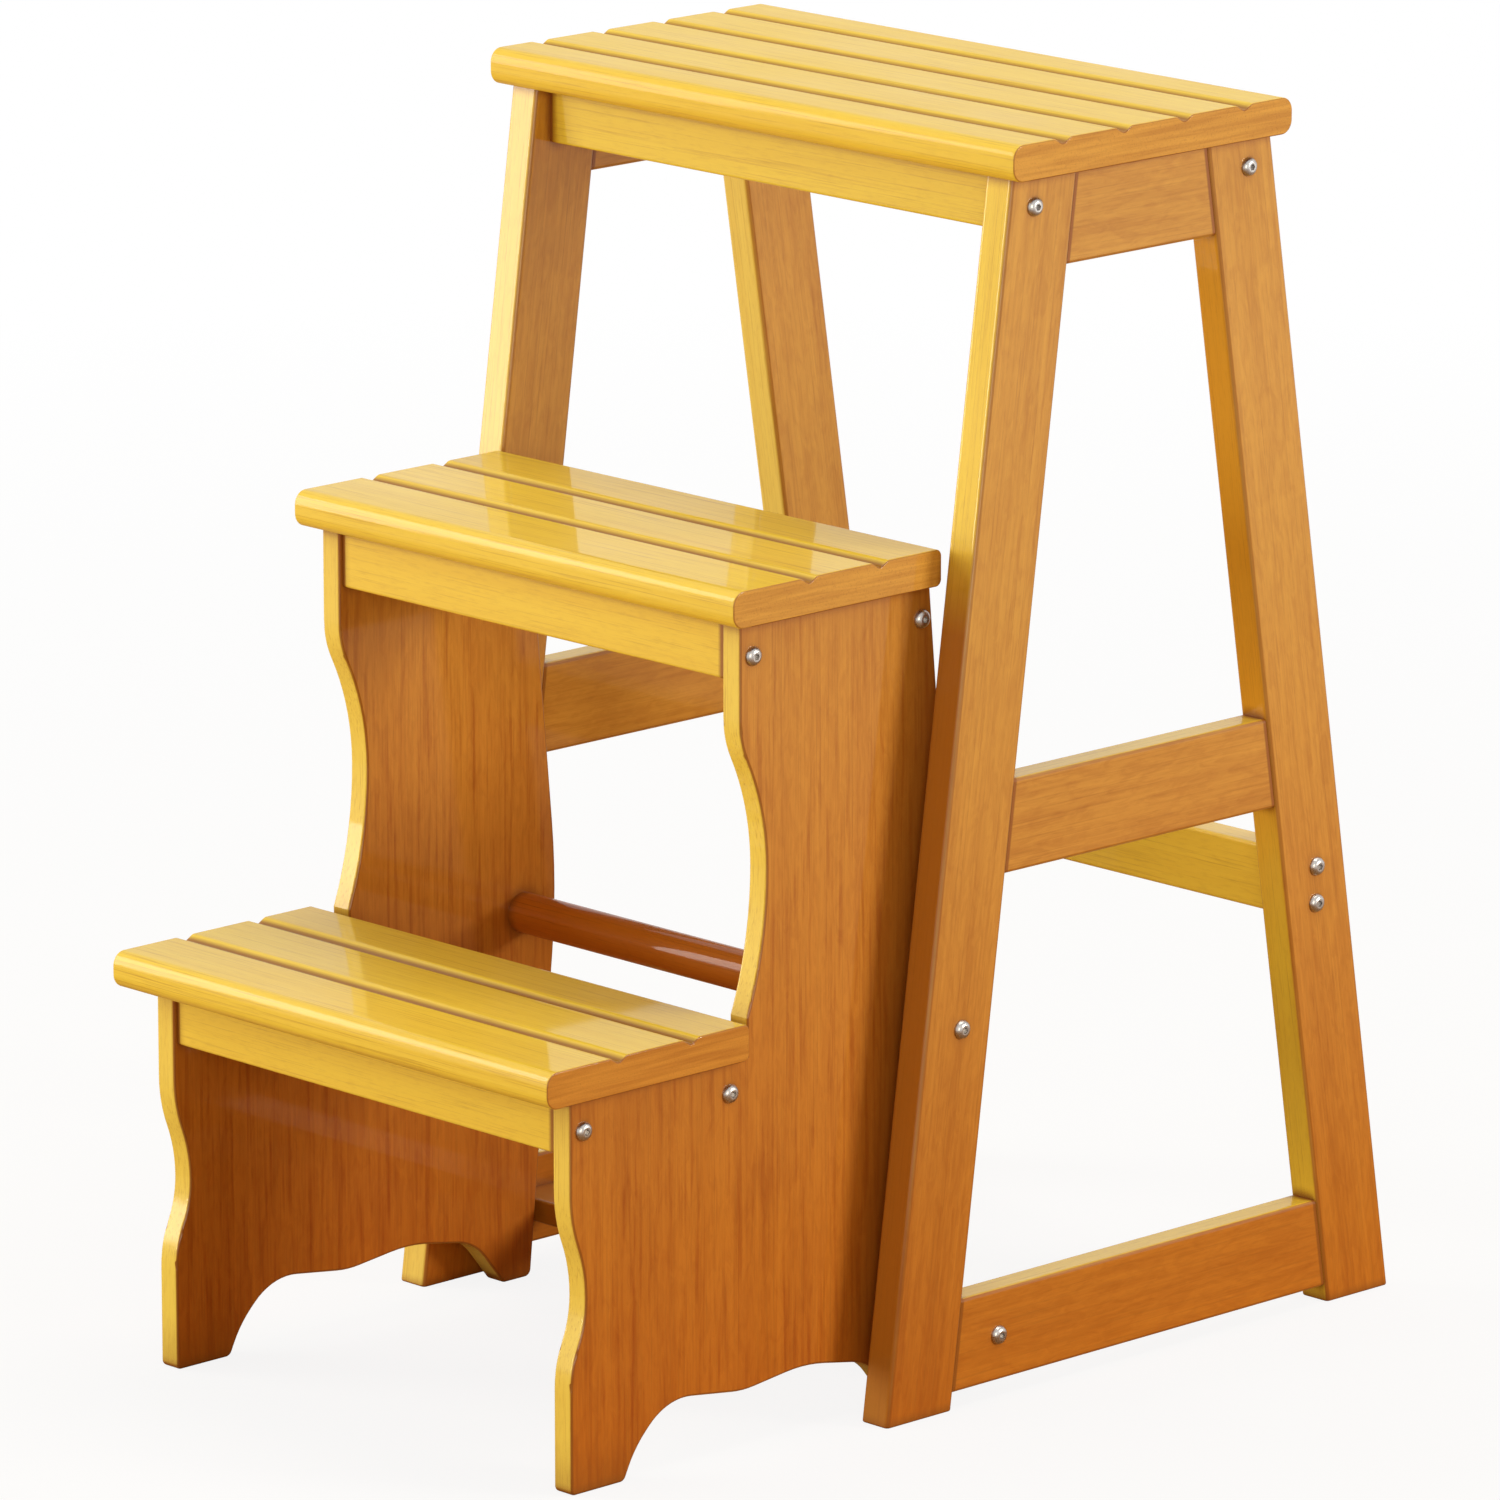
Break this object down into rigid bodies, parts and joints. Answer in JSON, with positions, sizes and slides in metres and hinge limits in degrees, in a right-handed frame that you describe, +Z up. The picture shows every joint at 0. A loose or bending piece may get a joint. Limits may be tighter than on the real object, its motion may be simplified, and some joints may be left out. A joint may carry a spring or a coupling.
{
  "type": "folding step stool chair",
  "caption": "Wooden stool with a slatted-look seat on splayed legs and a step unit that swings up and folds in between the legs.",
  "frame": {"origin": "on the floor, in the middle of the footprint with the steps open (bottom centre of the bounding box)", "axes": "+X to the right seen from the steps, +Y from the steps to the back legs, +Z up"},
  "size_m": [0.372, 0.5671, 0.63],
  "materials": {
    "board_wood": "gloss varnish, honey tone, grain lengthwise",
    "frame_wood": "gloss varnish, honey tone",
    "panel_wood": "gloss varnish, honey tone, upright grain",
    "turned_wood": "gloss varnish on a turned round bar",
    "dowel_wood": "raw wood",
    "screws": "bright plated",
    "inner_metal": "plain plated"
  },
  "bodies": {
    "frame": {"seat_board": "board_wood", "left_front_leg": "frame_wood", "right_front_leg": "frame_wood", "left_back_leg": "frame_wood", "right_back_leg": "frame_wood", "left_top_rail": "frame_wood", "right_top_rail": "frame_wood", "left_middle_rail": "frame_wood", "right_middle_rail": "frame_wood", "left_bottom_rail": "frame_wood", "right_bottom_rail": "frame_wood", "front_apron": "frame_wood", "back_apron": "frame_wood", "back_stretcher": "frame_wood", "bottom_cross_bar": "frame_wood", "seat_apron_screws": "screws", "stretcher_screws": "screws", "cross_bar_screws": "screws", "rail_dowels": "dowel_wood", "seat_dowels": "dowel_wood"},
    "steps": {"left_step_panel": "panel_wood", "right_step_panel": "panel_wood", "middle_tread": "board_wood", "lower_tread": "board_wood", "middle_front_apron": "panel_wood", "middle_back_apron": "panel_wood", "lower_front_apron": "panel_wood", "lower_back_apron": "panel_wood", "pivot_dowel": "turned_wood", "step_screws": "screws", "tread_dowels": "dowel_wood", "pivot_bolts": "screws", "pivot_spacers": "inner_metal", "pivot_inserts": "inner_metal"}
  },
  "joints": [
    {"name": "step_unit_fold", "type": "hinge", "parent": "frame", "child": "steps", "pos_m": [0, -0.02613, 0.1937], "axis": [-1, 0, 0], "range_deg": [0, 95.5]}
  ]
}
